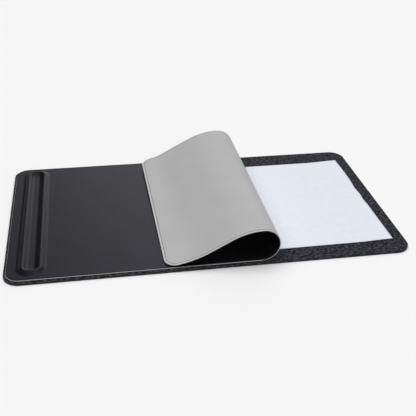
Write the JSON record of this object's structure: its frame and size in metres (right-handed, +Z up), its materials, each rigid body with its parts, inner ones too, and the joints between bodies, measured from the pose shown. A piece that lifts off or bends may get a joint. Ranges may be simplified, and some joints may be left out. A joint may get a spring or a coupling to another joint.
{
  "type": "desk pad",
  "caption": "Desk pad with a felt base and a leather cover in contrasting faces: raised-rim pen tray at one end, loose flap folded back over a paper pocket.",
  "frame": {"origin": "middle of the felt base, on its underside", "axes": "+X along the long side, from the pen tray towards the paper pocket; +Y across the pad, away from the user; +Z up"},
  "size_m": [0.675, 0.375, 0.0727],
  "materials": {
    "felt": "charcoal melange needle felt",
    "black_leather": "fine-grained matt coated leather",
    "grey_leather": "smooth matt coated leather",
    "foam": "closed-cell foam",
    "adhesive_film": "hot-melt film",
    "paper": "plain uncoated paper"
  },
  "bodies": {
    "pad": {"felt_base": "felt", "bond_film": "adhesive_film", "cover_lining": "grey_leather", "tray_rim_core": "foam", "cover_skin": "black_leather"},
    "flap_01": {"flap_lining_01": "grey_leather", "flap_skin_01": "black_leather"},
    "flap_02": {"flap_lining_02": "grey_leather", "flap_skin_02": "black_leather"},
    "flap_03": {"flap_lining_03": "grey_leather", "flap_skin_03": "black_leather"},
    "flap_04": {"flap_lining_04": "grey_leather", "flap_skin_04": "black_leather"},
    "flap_05": {"flap_lining_05": "grey_leather", "flap_skin_05": "black_leather"},
    "flap_06": {"flap_lining_06": "grey_leather", "flap_skin_06": "black_leather"},
    "flap_07": {"flap_lining_07": "grey_leather", "flap_skin_07": "black_leather"},
    "flap_08": {"flap_lining_08": "grey_leather", "flap_skin_08": "black_leather"},
    "flap_09": {"flap_lining_09": "grey_leather", "flap_skin_09": "black_leather"},
    "flap_10": {"flap_lining_10": "grey_leather", "flap_skin_10": "black_leather"},
    "paper": {"paper_sheet": "paper"}
  },
  "joints": [
    {"name": "flap_bend_01", "type": "hinge", "parent": "pad", "child": "flap_01", "pos_m": [0.07851, 0, 0.0076], "axis": [-0.0215, 0.9998, 0], "range_deg": [0, 30.02]},
    {"name": "flap_bend_02", "type": "hinge", "parent": "flap_01", "child": "flap_02", "pos_m": [0.09227, -0.00005, 0.01554], "axis": [-0.0169, 0.9999, 0.0027], "range_deg": [0, 30.02]},
    {"name": "flap_bend_03", "type": "hinge", "parent": "flap_02", "child": "flap_03", "pos_m": [0.10022, -0.00021, 0.0293], "axis": [-0.0142, 0.9999, 0.0074], "range_deg": [0, 30.02]},
    {"name": "flap_bend_04", "type": "hinge", "parent": "flap_03", "child": "flap_04", "pos_m": [0.10022, -0.00049, 0.04519], "axis": [-0.0142, 0.9998, 0.0128], "range_deg": [0, 30.02]},
    {"name": "flap_bend_05", "type": "hinge", "parent": "flap_04", "child": "flap_05", "pos_m": [0.09228, -0.00087, 0.05895], "axis": [-0.0169, 0.9997, 0.0175], "range_deg": [0, 30.02]},
    {"name": "flap_bend_06", "type": "hinge", "parent": "flap_05", "child": "flap_06", "pos_m": [0.07853, -0.00124, 0.06689], "axis": [-0.0215, 0.9996, 0.0202], "range_deg": [0, 30.02]},
    {"name": "flap_bend_07", "type": "hinge", "parent": "flap_06", "child": "flap_07", "pos_m": [0.05657, -0.00159, 0.06689], "axis": [-0.0303, 0.9993, 0.0202], "range_deg": [0, 14.5]},
    {"name": "flap_fold", "type": "hinge", "parent": "flap_07", "child": "flap_08", "pos_m": [0.02944, -0.00187, 0.05988], "axis": [-0.042, 0.999, 0.0171], "range_deg": [0, 14.48]},
    {"name": "flap_bend_09", "type": "hinge", "parent": "flap_08", "child": "flap_09", "pos_m": [-0.03751, -0.00211, 0.02526], "axis": [-0.0845, 0.9964, -0.0065], "range_deg": [-8.92, 0]},
    {"name": "flap_bend_10", "type": "hinge", "parent": "flap_09", "child": "flap_10", "pos_m": [-0.05455, -0.00223, 0.01903], "axis": [-0.0377, 0.9992, 0.0107], "range_deg": [-8.92, 0]},
    {"name": "paper_slide", "type": "slide", "parent": "pad", "child": "paper", "axis": [1, 0, 0], "range_m": [-0.05, 0.25]}
  ],
  "couplings": [
    {"joint": "flap_bend_01", "follows": "flap_fold", "ratio": 2.0718},
    {"joint": "flap_bend_02", "follows": "flap_fold", "ratio": 2.0718},
    {"joint": "flap_bend_03", "follows": "flap_fold", "ratio": 2.0718},
    {"joint": "flap_bend_04", "follows": "flap_fold", "ratio": 2.0718},
    {"joint": "flap_bend_05", "follows": "flap_fold", "ratio": 2.0718},
    {"joint": "flap_bend_06", "follows": "flap_fold", "ratio": 2.0718},
    {"joint": "flap_bend_07", "follows": "flap_fold", "ratio": 1},
    {"joint": "flap_bend_09", "follows": "flap_fold", "ratio": -0.61464},
    {"joint": "flap_bend_10", "follows": "flap_fold", "ratio": -0.61464}
  ]
}
